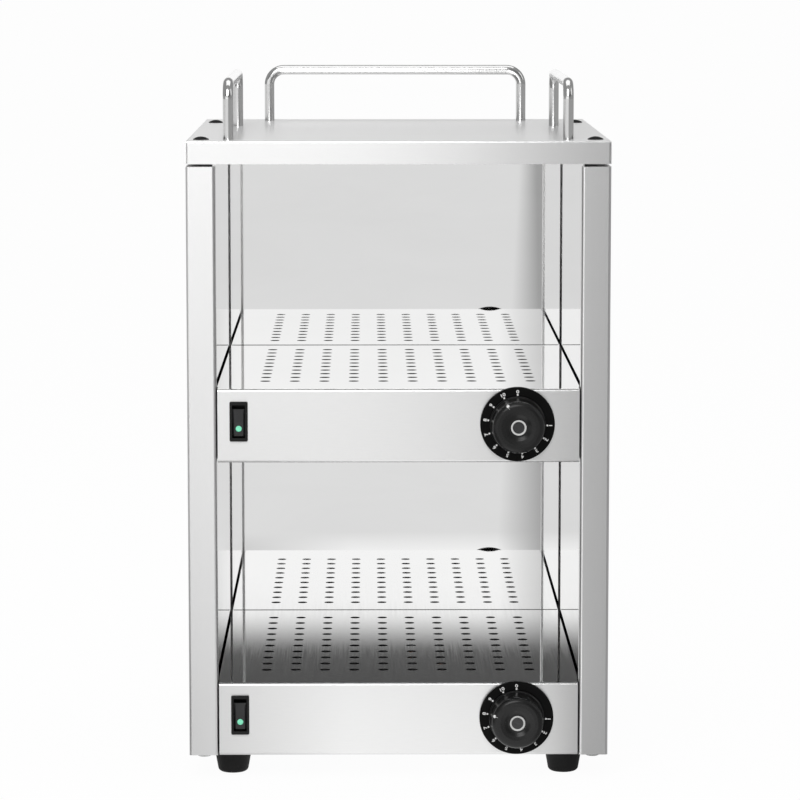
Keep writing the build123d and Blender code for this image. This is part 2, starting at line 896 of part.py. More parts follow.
def switch_housing(base_z):
    """Bezel and body of the switch, with the rocker's recess, pin sockets and latches."""
    z = switch_z(base_z)
    half_w = bezel_width / 2
    half_h = bezel_height / 2
    bezel_front = front_y - bezel_projection
    bezel = block(
        switch_x - half_w, switch_x + half_w, bezel_front, front_y, z - half_h, z + half_h
    )
    bezel = fillet(bezel.edges().filter_by(Axis.Y), bezel_radius)
    bezel = chamfer(bezel.faces().sort_by(Axis.Y)[0].edges(), bezel_chamfer)
    body_w = switch_body_width / 2
    body_h = switch_body_height / 2
    body_back = front_y + switch_body_depth
    housing = bezel + block(
        switch_x - body_w, switch_x + body_w, front_y, body_back, z - body_h, z + body_h
    )
    latch_w = latch_width / 2
    latch_back = front_y + skin + latch_length
    for side in (-1, 1):
        latch = sorted((z + side * (body_h - skin), z + side * (body_h + latch_height)))
        housing += block(
            switch_x - latch_w, switch_x + latch_w, front_y + skin, latch_back, latch[0], latch[1]
        )
    recess_w = recess_width / 2
    recess_h = recess_height / 2
    housing -= block(
        switch_x - recess_w, switch_x + recess_w, bezel_front, bezel_front + recess_depth,
        z - recess_h, z + recess_h,
    )
    socket = recess_width / 2 + rocker_pin_length
    housing -= rod_x(
        rocker_pin_radius + shaft_running_clearance, switch_x - socket, switch_x + socket,
        pivot_y(), z,
    )
    return housing


def rocker_frame(base_z):
    """Place of the rocker's section: x to the front, y up, tilted with its lower end pressed in."""
    z = switch_z(base_z)
    upright = Plane(origin=(switch_x, pivot_y(), z), x_dir=(0, -1, 0), z_dir=(-1, 0, 0))
    return upright.location * Rot(0, 0, -rocker_tilt)


def rocker(base_z):
    """Rocker with a hollowed face, chamfered sides, pins and a hole for its lamp."""
    half = rocker_length / 2
    section = make_face(
        Polyline(
            (rocker_waist_reach, 0),
            (rocker_end_reach, half),
            (rocker_end_reach - rocker_end_thickness, half - 0.4),
            (-rocker_heel_reach, rocker_heel_half),
            (-rocker_heel_reach, -rocker_heel_half),
            (rocker_end_reach - rocker_end_thickness, 0.4 - half),
            (rocker_end_reach, -half),
            close=True,
        )
    )
    body = extrude(section, rocker_width / 2, both=True)
    face_edges = body.edges().filter_by(
        lambda edge: edge.center().X > rocker_waist_reach
        and abs(abs(edge.center().Z) - rocker_width / 2) < 0.01
        and abs(edge.center().Y) < half - 1
    )
    body = chamfer(face_edges, rocker_edge_chamfer)
    body += Cylinder(rocker_pin_radius, rocker_width + 2 * (recess_gap() + rocker_pin_length - 0.2))
    body -= lamp_bar(lamp_radius + shaft_running_clearance, 0, rocker_end_reach + 2)
    return rocker_frame(base_z) * body


def recess_gap():
    return (recess_width - rocker_width) / 2


def lamp_bar(radius, start, end):
    """A bar across the rocker's face where the lamp sits, in the rocker's own frame."""
    return Pos((start + end) / 2, -lamp_drop, 0) * Rot(0, 90, 0) * Cylinder(radius, end - start)


def rocker_lamp(base_z):
    """Green lens in the lower half of the rocker."""
    face = rocker_waist_reach + lamp_drop * 2 / rocker_length
    lens = lamp_bar(lamp_radius, 0.2, face + lamp_dome)
    rim = lens.faces().sort_by(Axis.X)[-1].edges()
    lens = fillet(rim, lamp_dome)
    return rocker_frame(base_z) * lens


def terminal_tabs():
    """Spade tabs on the back of the thermostats and the switches."""
    tabs = []
    half = tab_width / 2
    thin = tab_thickness / 2
    for base_z in shelf_bases.values():
        back = thermostat_back()
        z = control_z(base_z) + thermostat_tab_rise
        for x in (control_x, control_x + thermostat_tab_pitch):
            tabs.append(block(x - half, x + half, back, back + tab_length, z - thin, z + thin))
        switch_back = front_y + switch_body_depth
        for step in (-1.5, -0.5, 0.5, 1.5):
            z = switch_z(base_z) + step * switch_tab_pitch
            tabs.append(
                block(
                    switch_x - half, switch_x + half, switch_back, switch_back + tab_length,
                    z - thin, z + thin,
                )
            )
    return group(tabs)


def thermal_cutout(base_z):
    """Safety cut-out on the pan floor: a disc with an ear and two contacts."""
    floor_z = base_z + skin + liner_skin
    y = front_y + cutout_distance
    ear_x = cutout_ear_length / 2
    ear_y = cutout_ear_width / 2
    cutout = block(-ear_x, ear_x, y - ear_y, y + ear_y, floor_z, floor_z + liner_skin)
    cutout += rod_z(cutout_radius, 0, y, floor_z, floor_z + cutout_height)
    for side in (-1, 1):
        contact_x = side * cutout_radius / 2
        low = floor_z + cutout_height
        cutout += block(
            contact_x - tab_thickness / 2, contact_x + tab_thickness / 2, y - tab_width / 2,
            y + tab_width / 2, low, low + tab_length,
        )
    return cutout


# Rails, feet and fasteners


def rail_from(points):
    """A polished rod bent to an upturned U; its ends stand on the tray and are drilled."""
    path = FilletPolyline(*points, radius=rail_bend_radius)
    start = Plane(origin=path @ 0, z_dir=path % 0)
    rod = sweep(start * Circle(rail_diameter / 2), path)
    for x, y, z in (points[0], points[-1]):
        rod -= rod_z(screw_radius, x, y, z, z + rail_tapping_depth)
    return rod


def side_rail(side):
    x = side * side_rail_x
    axis_z = top_z + rail_height - rail_diameter / 2
    near = front_y + side_rail_front
    far = front_y + side_rail_back
    return rail_from([(x, near, top_z), (x, near, axis_z), (x, far, axis_z), (x, far, top_z)])


def rear_rail():
    y = front_y + rear_rail_distance
    axis_z = top_z + rail_height - rail_diameter / 2
    half = rear_rail_half_length
    return rail_from([(-half, y, top_z), (-half, y, axis_z), (half, y, axis_z), (half, y, top_z)])


def rail_washers():
    washers = []
    for x, y in rail_post_spots():
        low = tray_underside - washer_thickness
        washer = rod_z(washer_radius, x, y, low, tray_underside)
        washer -= rod_z(screw_radius + screw_clearance, x, y, low, tray_underside)
        washers.append(washer)
    return group(washers)


def rail_screws():
    screws = []
    for x, y in rail_post_spots():
        seat = tray_underside - washer_thickness
        screw = rod_z(small_head_radius, x, y, seat - small_head_height, seat)
        screw += rod_z(screw_radius - screw_clearance / 4, x, y, seat, top_z + rail_tapping_depth - 1.0)
        screws.append(screw)
    return group(screws)


def top_screws():
    """Screws that hold the tray to the side liners; their heads lie inside the caps."""
    screws = []
    for x, y in cap_spots():
        screw = rod_z(small_head_radius, x, y, top_z, top_z + low_head_height)
        screw += rod_z(screw_radius, x, y, top_z - top_screw_length, top_z)
        screws.append(screw)
    return group(screws)


def top_screw_caps():
    """Domed caps over the tray screws."""
    caps = []
    radius = cap_diameter / 2
    rise = cap_height - cap_rim_height
    dome_radius = (radius ** 2 + rise ** 2) / (2 * rise)
    for x, y in cap_spots():
        cap = rod_z(radius, x, y, top_z, top_z + cap_height)
        cap &= Pos(x, y, top_z + cap_height - dome_radius) * Sphere(dome_radius)
        pocket_top = top_z + low_head_height + fit_clearance
        cap -= rod_z(small_head_radius + fit_clearance, x, y, top_z, pocket_top)
        caps.append(cap)
    return group(caps)


def base_screws():
    """Domed screws up through the foot of each column."""
    screws = []
    radius = base_screw_diameter / 2
    for x, y in base_screw_spots():
        head = rod_z(radius, x, y, lower_base_z - base_screw_height, lower_base_z)
        head = fillet(head.faces().sort_by(Axis.Z)[0].edges(), base_screw_height - cap_rim_height)
        tip = lower_base_z + base_screw_length
        screws.append(head + rod_z(screw_radius, x, y, lower_base_z, tip))
    return group(screws)


def shelf_screws():
    """Screws from the columns through liner, pan wall and deck flange."""
    screws = []
    for base_z in shelf_bases.values():
        for y, z in shelf_screw_spots(base_z):
            for side in (-1, 1):
                seat = side * (liner_x + liner_skin)
                head = sorted((seat, seat + side * small_head_height))
                shank = sorted((seat, seat - side * shelf_screw_length))
                screw = rod_x(small_head_radius, head[0], head[1], y, z)
                screw += rod_x(screw_radius, shank[0], shank[1], y, z)
                screws.append(screw)
    return group(screws)


def rear_cover_screws():
    screws = []
    for x, z in cover_screw_spots():
        head = rod_y(small_head_radius, x, rear_y, rear_y + small_head_height, z)
        head = fillet(head.faces().sort_by(Axis.Y)[-1].edges(), small_head_height / 2)
        tip = rear_y - cover_screw_length
        screws.append(head + rod_y(screw_radius, x, tip, rear_y, z))
    return group(screws)


def foot(x, y):
    """Tapered rubber foot with a neck up to the pan and a screw recess in its underside."""
    height = lower_base_z + skin
    top = Pos(0, 0, foot_height) * Circle(foot_top_diameter / 2)
    shape = Pos(x, y, 0) * loft([Circle(foot_bottom_diameter / 2), top])
    shape = fillet(shape.faces().sort_by(Axis.Z)[0].edges(), foot_edge_radius)
    shape += rod_z(foot_neck_radius, x, y, foot_height, height)
    shape -= rod_z(foot_recess_radius, x, y, 0, foot_recess_depth)
    shape -= rod_z(screw_radius + screw_clearance, x, y, foot_recess_depth, height)
    return shape


def foot_screws():
    screws = []
    for x, y in foot_spots():
        low = foot_recess_depth - small_head_height
        screw = rod_z(small_head_radius, x, y, low, foot_recess_depth)
        screw_top = lower_base_z + skin + liner_skin + foot_bush_height + 0.5
        screw += rod_z(screw_radius, x, y, foot_recess_depth, screw_top)
        screws.append(screw)
    return group(screws)


# Mains entry in the rear duct


def cable_gland():
    """Gland with a hexagonal flange, a domed nose and a thread into the duct."""
    hex_end = rear_y + gland_hex_length
    gland = hexagon_y(gland_hex_flats, gland_x, rear_y, hex_end, gland_z)
    nose = rod_y(gland_hex_flats / 2 - 1, gland_x, hex_end, rear_y + gland_projection, gland_z)
    gland += fillet(nose.faces().sort_by(Axis.Y)[-1].edges(), gland_nose_radius)
    thread_front = rear_y - skin - gland_thread_length
    gland += rod_y(gland_thread_radius, gland_x, thread_front, rear_y, gland_z)
    gland -= rod_y(gland_bore_radius, gland_x, thread_front, rear_y + gland_projection, gland_z)
    return gland


def gland_nut():
    seat = rear_flange_y
    nut = hexagon_y(gland_hex_flats, gland_x, seat - gland_nut_thickness, seat, gland_z)
    bore = gland_thread_radius + 0.05
    return nut - rod_y(bore, gland_x, seat - gland_nut_thickness, seat, gland_z)


def terminal_block():
    """Three-way mains terminal block on the duct's floor."""
    low = lower_base_z + skin
    half = terminal_width / 2
    deep = terminal_depth / 2
    shape = block(
        terminal_x - half, terminal_x + half, duct_y - deep, duct_y + deep, low,
        low + terminal_height,
    )
    pitch = terminal_width / 3
    for way in (-1, 0, 1):
        x = terminal_x + way * pitch
        top = low + terminal_height
        shape -= rod_z(terminal_well_radius, x, duct_y, top - terminal_well_depth, top)
        shape -= rod_y(terminal_bore_radius, x, duct_y - deep, duct_y + deep, low + terminal_bore_rise)
    return shape


def loom(points, radii):
    path = FilletPolyline(*points, radius=radii)
    start = Plane(origin=path @ 0, z_dir=path % 0)
    return sweep(start * Circle(loom_diameter / 2), path)


def lower_loom():
    """Sleeved wires from the terminal block's end to the lower controls."""
    z = lower_base_z + loom_rise
    block_end = terminal_x - terminal_width / 2
    return loom(
        [(block_end, duct_y, z), (loom_x, duct_y, z), (loom_x, shield_y - loom_overhang, z)],
        loom_bend_radius,
    )


def upper_loom():
    """Sleeved wires from the terminal block's top up the duct to the upper controls."""
    low = lower_base_z + skin + terminal_height
    z = upper_base_z + loom_rise
    x = terminal_x - terminal_width / 6
    return loom(
        [
            (x, duct_y, low),
            (x, duct_y, low + loom_lower_turn),
            (loom_x, duct_y, low + loom_upper_turn),
            (loom_x, duct_y, z),
            (loom_x, shield_y - loom_overhang, z),
        ],
        [loom_slope_radius, loom_slope_radius, loom_bend_radius],
    )


def all_parts():
    """Every piece by its name."""
    panel = right_side_panel()
    liner = right_side_liner()
    parts = {
        "side_panel_right": panel,
        "side_panel_left": mirror(panel, about=Plane.YZ),
        "side_liner_right": liner,
        "side_liner_left": mirror(liner, about=Plane.YZ),
        "back_liner": back_liner(),
        "ceiling_panel": ceiling_panel(),
        "rear_cover": rear_cover(),
        "top_tray": top_tray(),
        "rail_left": side_rail(-1),
        "rail_right": side_rail(1),
        "rail_rear": rear_rail(),
        "rail_washers": rail_washers(),
        "rail_screws": rail_screws(),
        "top_screws": top_screws(),
        "top_screw_caps": top_screw_caps(),
        "base_screws": base_screws(),
        "shelf_screws": shelf_screws(),
        "rear_cover_screws": rear_cover_screws(),
        "foot_screws": foot_screws(),
        "heater_clips": heater_clips(),
        "sensor_clips": sensor_clips(),
        "thermostat_screws": thermostat_screws(),
        "terminal_tabs": terminal_tabs(),
        "terminal_block": terminal_block(),
        "cable_gland": cable_gland(),
        "gland_nut": gland_nut(),
        "lower_wiring": lower_loom(),
        "upper_wiring": upper_loom(),
    }
    corners = ("left_front", "left_rear", "right_front", "right_rear")
    for corner, (x, y) in zip(corners, foot_spots()):
        parts[f"foot_{corner}"] = foot(x, y)
    for shelf, base_z in shelf_bases.items():
        parts[f"{shelf}_shelf_deck"] = shelf_deck(base_z)
        parts[f"{shelf}_shelf_pan"] = shelf_pan(base_z)
        parts[f"{shelf}_heat_shield"] = heat_shield(base_z)
        parts[f"{shelf}_heater"] = heater(base_z)
        parts[f"{shelf}_sensor"] = sensor(base_z)
        parts[f"{shelf}_thermal_cutout"] = thermal_cutout(base_z)
        parts[f"{shelf}_thermostat"] = thermostat(base_z)
        parts[f"{shelf}_thermostat_shaft"] = thermostat_shaft(base_z)
        parts[f"{shelf}_dial_ring"] = dial_ring(base_z)
        parts[f"{shelf}_knob"] = knob(base_z)
        parts[f"{shelf}_knob_insert"] = knob_insert(base_z)
        parts[f"{shelf}_switch_housing"] = switch_housing(base_z)
        parts[f"{shelf}_rocker"] = rocker(base_z)
        parts[f"{shelf}_rocker_lamp"] = rocker_lamp(base_z)
    return parts


os.makedirs("parts", exist_ok=True)
for name, shape in all_parts().items():
    export_step(shape, f"parts/{name}.step")
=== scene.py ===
import math

import bmesh
import bpy
from mathutils import Matrix, Vector
from mathutils.bvhtree import BVHTree


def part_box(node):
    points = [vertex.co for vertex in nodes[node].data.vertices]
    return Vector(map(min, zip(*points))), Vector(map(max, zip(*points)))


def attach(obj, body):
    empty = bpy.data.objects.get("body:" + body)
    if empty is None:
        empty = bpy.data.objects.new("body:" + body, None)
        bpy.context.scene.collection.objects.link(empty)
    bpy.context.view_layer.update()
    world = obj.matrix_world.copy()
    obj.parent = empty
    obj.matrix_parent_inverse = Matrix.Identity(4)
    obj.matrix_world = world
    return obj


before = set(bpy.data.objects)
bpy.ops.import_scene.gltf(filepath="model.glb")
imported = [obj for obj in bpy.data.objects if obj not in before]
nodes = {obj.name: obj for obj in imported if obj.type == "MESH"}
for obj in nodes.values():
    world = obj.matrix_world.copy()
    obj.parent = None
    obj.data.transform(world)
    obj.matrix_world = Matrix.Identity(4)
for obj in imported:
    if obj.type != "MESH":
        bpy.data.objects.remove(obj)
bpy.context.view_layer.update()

SHELVES = ("lower", "upper")

# Where the photograph was taken from, in metres, from the fitted perspective
CAMERA_DISTANCE = 2.741
CAMERA_LEFT = 0.0235
CAMERA_HEIGHT = 0.6286
CAMERA_PITCH = math.radians(6.996)
CAMERA_YAW = math.radians(0.514)
CAMERA_LENS = 164.3
SENSOR_WIDTH = 36.0

MM = 0.001

# Steel: the roughness of brushed and of rolled sheet, how far brushing spreads a reflection, and
# the near-black colour painted as shade on the walls of the punched holes
SATIN = (0.28, 0.31)
DECK_GLOSS = (0.014, 0.028)
BRUSHED_SPREAD = 0.9
HOLE_WALL_SHADE = (0.07, 0.07, 0.07, 1)

# The dial's scale: clockwise from the top, in degrees. A reach is a share of the ring's radius.
DIAL_ANGLES = (0, 92, 118, 144, 171, 198, 225, 252, 278, 306, 333)
DIAL_DOT_REACH = 0.795
DIAL_NUMBER_REACH = 0.877
DIAL_DOT_RADIUS = 0.72 * MM
DIAL_NUMBER_SIZE = 3.5 * MM
DIAL_NUMBER_WIDENING = 1.25
DIAL_NUMBER_BOLDNESS = 0.08 * MM
PRINT_STAND = 0.03 * MM
PRINT_THICKNESS = 0.08 * MM

# The white drop on each knob, whose middle is POINTER_DISTANCE from the knob's own
POINTER_ANGLES = {"upper": 333.5, "lower": 287.6}
POINTER_DISTANCE = 18.2 * MM
POINTER_RADIUS = 1.15 * MM
POINTER_TAIL = 2.9 * MM
POINTER_SKIN = (-0.06 * MM, 0.02 * MM)
POINTER_RINGS = (0.3, 0.65, 1.0)

# The pale ring on the disc in each knob's middle
INSERT_RING_WIDTH = 1.3 * MM
INSERT_RING_BEVEL = 0.4 * MM
INSERT_RING_SKIN = 0.05 * MM

# A dark strip along the foot of the back wall above each deck: painted shade on that line
SHADE_STRIP_HEIGHT = (0.02 * MM, 0.34 * MM)
SHADE_STRIP_DEPTH = (-0.12 * MM, 0.05 * MM)
SHADE_STRIP_SIDE_GAP = 0.5 * MM

# The floor: how much of what the camera sees is plain white rather than lit paper, the same for
# what metal mirrors, and the brightness of those mirrored parts. It is darkest near the object on
# its left, bright in front of its middle, even further out, and darker right of a slanted line.
FLOOR_SIZE = 60.0
FLOOR_SEEN = 0.96
FLOOR_MIRRORED = 0.96
FLOOR_FAR_LEVEL = 0.78
FLOOR_NEAR_LEVELS = (0.12, 1.15)
FLOOR_NEAR_X = (-0.24, -0.04)
FLOOR_NEAR_START = (-0.75, -0.5)
FLOOR_NEAR_END = (-0.2, -0.1)
FLOOR_RIGHT_LEVEL = 0.37
FLOOR_RIGHT_EDGE = (0.085, 0.135)
FLOOR_RIGHT_SLANT = 0.045

# The world, by direction: x to the right, y to the back, z up, each from -1 to 1. Dull surfaces
# get ROOM_LIGHT from everywhere. Polished metal mirrors a bright low screen in front, whose right
# part is dimmer and whose top edge is about 10.5 degrees up. Above it is dark, the sides are grey,
# and it is white behind the object.
ROOM_LIGHT = 0.66
SCREEN_LEVELS = (1.05, 1.14)
SCREEN_RISE = (0.10, 0.16)
SCREEN_TOP = (0.1793, 0.1892)
SCREEN_EDGE = (0.036, 0.062)
SCREEN_RIGHT_LEVEL = 0.27
DARK_LEVEL = 0.10
DARK_RISE = (0.3, 0.7)
SIDE_LEVEL = 0.30
FRONT_EDGE = (-0.7, -0.35)
BEHIND_LEVEL = 1.05
BEHIND_EDGE = (0.88, 0.97)

# Softboxes: place, size in metres, and radiance, where 1 looks white in a mirror
SOFTBOX_AIM = (0, 0, 0.28)
SOFTBOXES = {
    "softbox_left": ((-0.54, -2.36, 2.0), (1.55, 1.7), 4.1),
    "softbox_right": ((2.2, -0.6, 1.6), (0.8, 1.2), 0.8),
    "softbox_top": ((0, 0.2, 2.4), (2.0, 1.4), 1.0),
}

# Reflections of reflections, for the polished walls that face each other
MIRROR_BOUNCES = 10


# Node helpers


def new_material(name):
    material = bpy.data.materials.new(name)
    material.use_nodes = True
    tree = material.node_tree
    shader = tree.nodes["Principled BSDF"]
    return material, tree, shader


def coordinates(tree, kind):
    return tree.nodes.new("ShaderNodeTexCoord").outputs[kind]


def object_coords(tree, scale=(1.0, 1.0, 1.0), rotation=(0, 0, 0)):
    """The object's own coordinates in metres, stretched by scale."""
    mapping = tree.nodes.new("ShaderNodeMapping")
    mapping.inputs["Scale"].default_value = scale
    mapping.inputs["Rotation"].default_value = rotation
    tree.links.new(coordinates(tree, "Object"), mapping.inputs["Vector"])
    return mapping.outputs["Vector"]


def noise(tree, vector, scale, detail=2.0, roughness=0.5, distortion=0.0):
    node = tree.nodes.new("ShaderNodeTexNoise")
    node.inputs["Scale"].default_value = scale
    node.inputs["Detail"].default_value = detail
    node.inputs["Roughness"].default_value = roughness
    node.inputs["Distortion"].default_value = distortion
    tree.links.new(vector, node.inputs["Vector"])
    return node.outputs["Fac"]


def spread(tree, value, low, high, start=0.3, end=0.7):
    """Maps start..end to low..high, and holds those two beyond it."""
    node = tree.nodes.new("ShaderNodeMapRange")
    node.inputs["From Min"].default_value = start
    node.inputs["From Max"].default_value = end
    node.inputs["To Min"].default_value = low
    node.inputs["To Max"].default_value = high
    tree.links.new(value, node.inputs["Value"])
    return node.outputs["Result"]


def math_node(tree, operation, first, second):
    node = tree.nodes.new("ShaderNodeMath")
    node.operation = operation
    for socket, value in zip(node.inputs, (first, second)):
        if isinstance(value, (int, float)):
            socket.default_value = value
        else:
            tree.links.new(value, socket)
    return node.outputs["Value"]


def blend(tree, kind, sockets, share, first, second):
    """A Mix node whose values are numbers, colours or links."""
    node = tree.nodes.new("ShaderNodeMix")
    node.data_type = kind
    for index, value in zip(sockets, (share, first, second)):
        if isinstance(value, bpy.types.NodeSocket):
            tree.links.new(value, node.inputs[index])
        else:
            node.inputs[index].default_value = value
    return node


def blend_values(tree, share, first, second):
    """first where share is 0, second where it is 1."""
    return blend(tree, "FLOAT", (0, 2, 3), share, first, second).outputs[0]


def blend_colors(tree, share, first, second):
    """first where share is 0, second where it is 1."""
    return blend(tree, "RGBA", (0, 6, 7), share, first, second).outputs[2]


def tint(tree, value, dark, light):
    """A colour between two, by a 0..1 value."""
    return blend_colors(tree, value, (*dark, 1), (*light, 1))


def separate(tree, vector):
    """The x, y and z of a vector."""
    parts = tree.nodes.new("ShaderNodeSeparateXYZ")
    tree.links.new(vector, parts.inputs["Vector"])
    return tuple(parts.outputs[axis] for axis in "XYZ")


def bump(tree, shader, height, distance):
    node = tree.nodes.new("ShaderNodeBump")
    node.inputs["Distance"].default_value = distance
    tree.links.new(height, node.inputs["Height"])
    tree.links.new(node.outputs["Normal"], shader.inputs["Normal"])


# Metals


def spread_along(tree, shader, axis):
    """Widens reflections along one axis, as brushing across it does."""
    direction = tree.nodes.new("ShaderNodeCombineXYZ")
    direction.inputs[axis].default_value = 1.0
    tree.links.new(direction.outputs["Vector"], shader.inputs["Tangent"])


def spread_across(tree, shader, grain):
    """Widens reflections across brush lines that run along one axis."""
    tangent = tree.nodes.new("ShaderNodeTangent")
    tangent.direction_type = "RADIAL"
    tangent.axis = grain
    tree.links.new(tangent.outputs["Tangent"], shader.inputs["Tangent"])


def brush_lines(tree, grain, fine_share):
    """Fine and broad brush lines that run along one axis, mixed to a 0..1 value."""
    fine = [6000.0, 6000.0, 6000.0]
    broad = [1500.0, 1500.0, 1500.0]
    along = "XYZ".index(grain)
    fine[along] = 500.0
    broad[along] = 90.0
    hairline = noise(tree, object_coords(tree, fine), 1.0, 2.0, 0.6)
    streak = noise(tree, object_coords(tree, broad), 1.0, 2.0, 0.55)
    return math_node(tree, "ADD", math_node(tree, "MULTIPLY", hairline, fine_share),
                     math_node(tree, "MULTIPLY", streak, 1 - fine_share))


def brushed_steel(name, grain):
    """Brushed stainless sheet. grain is the axis that the brush lines run along."""
    material, tree, shader = new_material(name)
    cloud = noise(tree, object_coords(tree, (7.0, 7.0, 7.0)), 1.0, 3.0)
    lines = brush_lines(tree, grain, 0.6)
    shade = math_node(tree, "ADD", math_node(tree, "MULTIPLY", lines, 0.7),
                      math_node(tree, "MULTIPLY", cloud, 0.3))
    color = tint(tree, spread(tree, shade, 0, 1), (0.784, 0.784, 0.7824), (0.816, 0.816, 0.8144))
    tree.links.new(color, shader.inputs["Base Color"])
    tree.links.new(spread(tree, lines, *SATIN), shader.inputs["Roughness"])
    shader.inputs["Metallic"].default_value = 1.0
    shader.inputs["Anisotropic"].default_value = BRUSHED_SPREAD
    if grain == "X":
        spread_across(tree, shader, grain)
    else:
        spread_along(tree, shader, grain)
    bump(tree, shader, lines, 0.000006)
    return material


def polished_steel(name, value=0.90, rough=(0.01, 0.02), wave=0.00001):
    """Bright annealed sheet: nearly a mirror, a little wavy, with faint wiping marks."""
    material, tree, shader = new_material(name)
    wipe = noise(tree, object_coords(tree, (9.0, 9.0, 30.0), (0.4, 0.2, 0.6)), 1.0, 4.0, 0.6, 0.5)
    wavy = noise(tree, object_coords(tree, (7.0, 7.0, 7.0)), 1.0, 1.0)
    dark = (value * 0.985, value * 0.985, value * 0.983)
    light = (value * 1.01, value * 1.01, value * 1.008)
    tree.links.new(tint(tree, spread(tree, wipe, 0, 1), dark, light), shader.inputs["Base Color"])
    tree.links.new(spread(tree, wipe, *rough), shader.inputs["Roughness"])
    shader.inputs["Metallic"].default_value = 1.0
    bump(tree, shader, wavy, wave)
    return material


def punched_edge(tree, facing_up):
    """1 on the walls of the deck's holes, which are painted near-black as shade, and 0 elsewhere."""
    sideways = spread(tree, math_node(tree, "ABSOLUTE", facing_up, 0.0), 1, 0, 0.3, 0.6)
    depth = separate(tree, coordinates(tree, "Generated"))[1]
    behind_fascia = spread(tree, depth, 0, 1, 0.03, 0.04)
    return math_node(tree, "MULTIPLY", sideways, behind_fascia)


def deck_steel(name):
    """The perforated deck and fascia: one folded sheet, satin on the fascia and bright on top."""
    material, tree, shader = new_material(name)
    rolled = noise(tree, object_coords(tree, (900.0, 12.0, 12.0)), 1.0, 3.0, 0.6)
    lines = brush_lines(tree, "X", 0.5)
    facing_up = separate(tree, coordinates(tree, "Normal"))[2]
    sheet = tint(tree, spread(tree, lines, 0, 1), (0.785, 0.785, 0.782), (0.815, 0.815, 0.812))
    # The hole walls get painted shade: near-black instead of the sheet's own colour.
    color = blend_colors(tree, punched_edge(tree, facing_up), sheet, HOLE_WALL_SHADE)
    tree.links.new(color, shader.inputs["Base Color"])
    satin = spread(tree, lines, *SATIN)
    gloss = spread(tree, rolled, *DECK_GLOSS)
    top = spread(tree, facing_up, 0, 1, 0.5, 0.9)
    tree.links.new(blend_values(tree, top, satin, gloss), shader.inputs["Roughness"])
    shader.inputs["Metallic"].default_value = 1.0
    shader.inputs["Anisotropic"].default_value = BRUSHED_SPREAD
    spread_across(tree, shader, "X")
    on_fascia = math_node(tree, "SUBTRACT", 1.0, top)
    bump(tree, shader, math_node(tree, "MULTIPLY", lines, on_fascia), 0.000004)
    return material


def plain_metal(name, color, rough):
    """Small metal parts: a base colour with fine mottling."""
    material, tree, shader = new_material(name)
    mottle = noise(tree, object_coords(tree), 900.0, 3.0, 0.6)
    dark = tuple(channel * 0.9 for channel in color)
    light = tuple(min(1.0, channel * 1.08) for channel in color)
    tree.links.new(tint(tree, spread(tree, mottle, 0, 1), dark, light), shader.inputs["Base Color"])
    tree.links.new(spread(tree, mottle, rough * 0.8, rough * 1.2), shader.inputs["Roughness"])
    shader.inputs["Metallic"].default_value = 1.0
    bump(tree, shader, mottle, 0.00001)
    return material


def galvanised(name):
    """Zinc-coated sheet with its pattern of crystals."""
    material, tree, shader = new_material(name)
    cells = tree.nodes.new("ShaderNodeTexVoronoi")
    cells.inputs["Scale"].default_value = 160.0
    tree.links.new(object_coords(tree), cells.inputs["Vector"])
    value = cells.outputs["Distance"]
    tree.links.new(
        tint(tree, spread(tree, value, 0, 1, 0.0, 0.6), (0.50, 0.52, 0.53), (0.68, 0.70, 0.71)),
        shader.inputs["Base Color"],
    )
    tree.links.new(spread(tree, value, 0.35, 0.55, 0.0, 0.6), shader.inputs["Roughness"])
    shader.inputs["Metallic"].default_value = 0.9
    return material


# Plastics, rubber and the lamp


def moulded(name, color, rough=(0.34, 0.44), grain=1800.0, depth=0.00003, level=0.5):
    """Moulded plastic: a fine sparked grain and a slight change of sheen."""
    material, tree, shader = new_material(name)
    coords = object_coords(tree)
    texture = noise(tree, coords, grain, 2.0, 0.5)
    patch = noise(tree, coords, 60.0, 3.0, 0.5)
    dark = tuple(channel * 0.85 for channel in color)
    light = tuple(channel * 1.2 for channel in color)
    tree.links.new(tint(tree, spread(tree, patch, 0, 1), dark, light), shader.inputs["Base Color"])
    mixed = math_node(tree, "ADD", math_node(tree, "MULTIPLY", texture, 0.5),
                      math_node(tree, "MULTIPLY", patch, 0.5))
    tree.links.new(spread(tree, mixed, *rough), shader.inputs["Roughness"])
    shader.inputs["Specular IOR Level"].default_value = level
    bump(tree, shader, texture, depth)
    return material


def lamp_glow(name):
    """Green lens, lit from behind."""
    material, tree, shader = new_material(name)
    ripple = noise(tree, object_coords(tree), 900.0, 1.0)
    tree.links.new(
        tint(tree, spread(tree, ripple, 0, 1), (0.10, 0.42, 0.27), (0.20, 0.58, 0.40)),
        shader.inputs["Base Color"],
    )
    shader.inputs["Roughness"].default_value = 0.15
    shader.inputs["Emission Color"].default_value = (0.22, 0.78, 0.50, 1)
    shader.inputs["Emission Strength"].default_value = 0.42
    return material


def printed_paint(name, level):
    """Pale printing ink, slightly uneven."""
    material, tree, shader = new_material(name)
    speck = noise(tree, object_coords(tree), 2500.0, 2.0)
    dark = (level * 0.92, level * 0.92, level * 0.91)
    light = (level * 1.06, level * 1.06, level * 1.05)
    tree.links.new(tint(tree, spread(tree, speck, 0, 1), dark, light), shader.inputs["Base Color"])
    shader.inputs["Roughness"].default_value = 0.45
    return material


def cloth_sleeve(name):
    """Woven glass-fibre sleeve on the wires."""
    material, tree, shader = new_material(name)
    weave = tree.nodes.new("ShaderNodeTexWave")
    weave.inputs["Scale"].default_value = 400.0
    weave.inputs["Distortion"].default_value = 2.0
    tree.links.new(object_coords(tree), weave.inputs["Vector"])
    tree.links.new(
        tint(tree, weave.outputs["Fac"], (0.62, 0.60, 0.55), (0.88, 0.87, 0.82)),
        shader.inputs["Base Color"],
    )
    shader.inputs["Roughness"].default_value = 0.85
    bump(tree, shader, weave.outputs["Fac"], 0.0001)
    return material


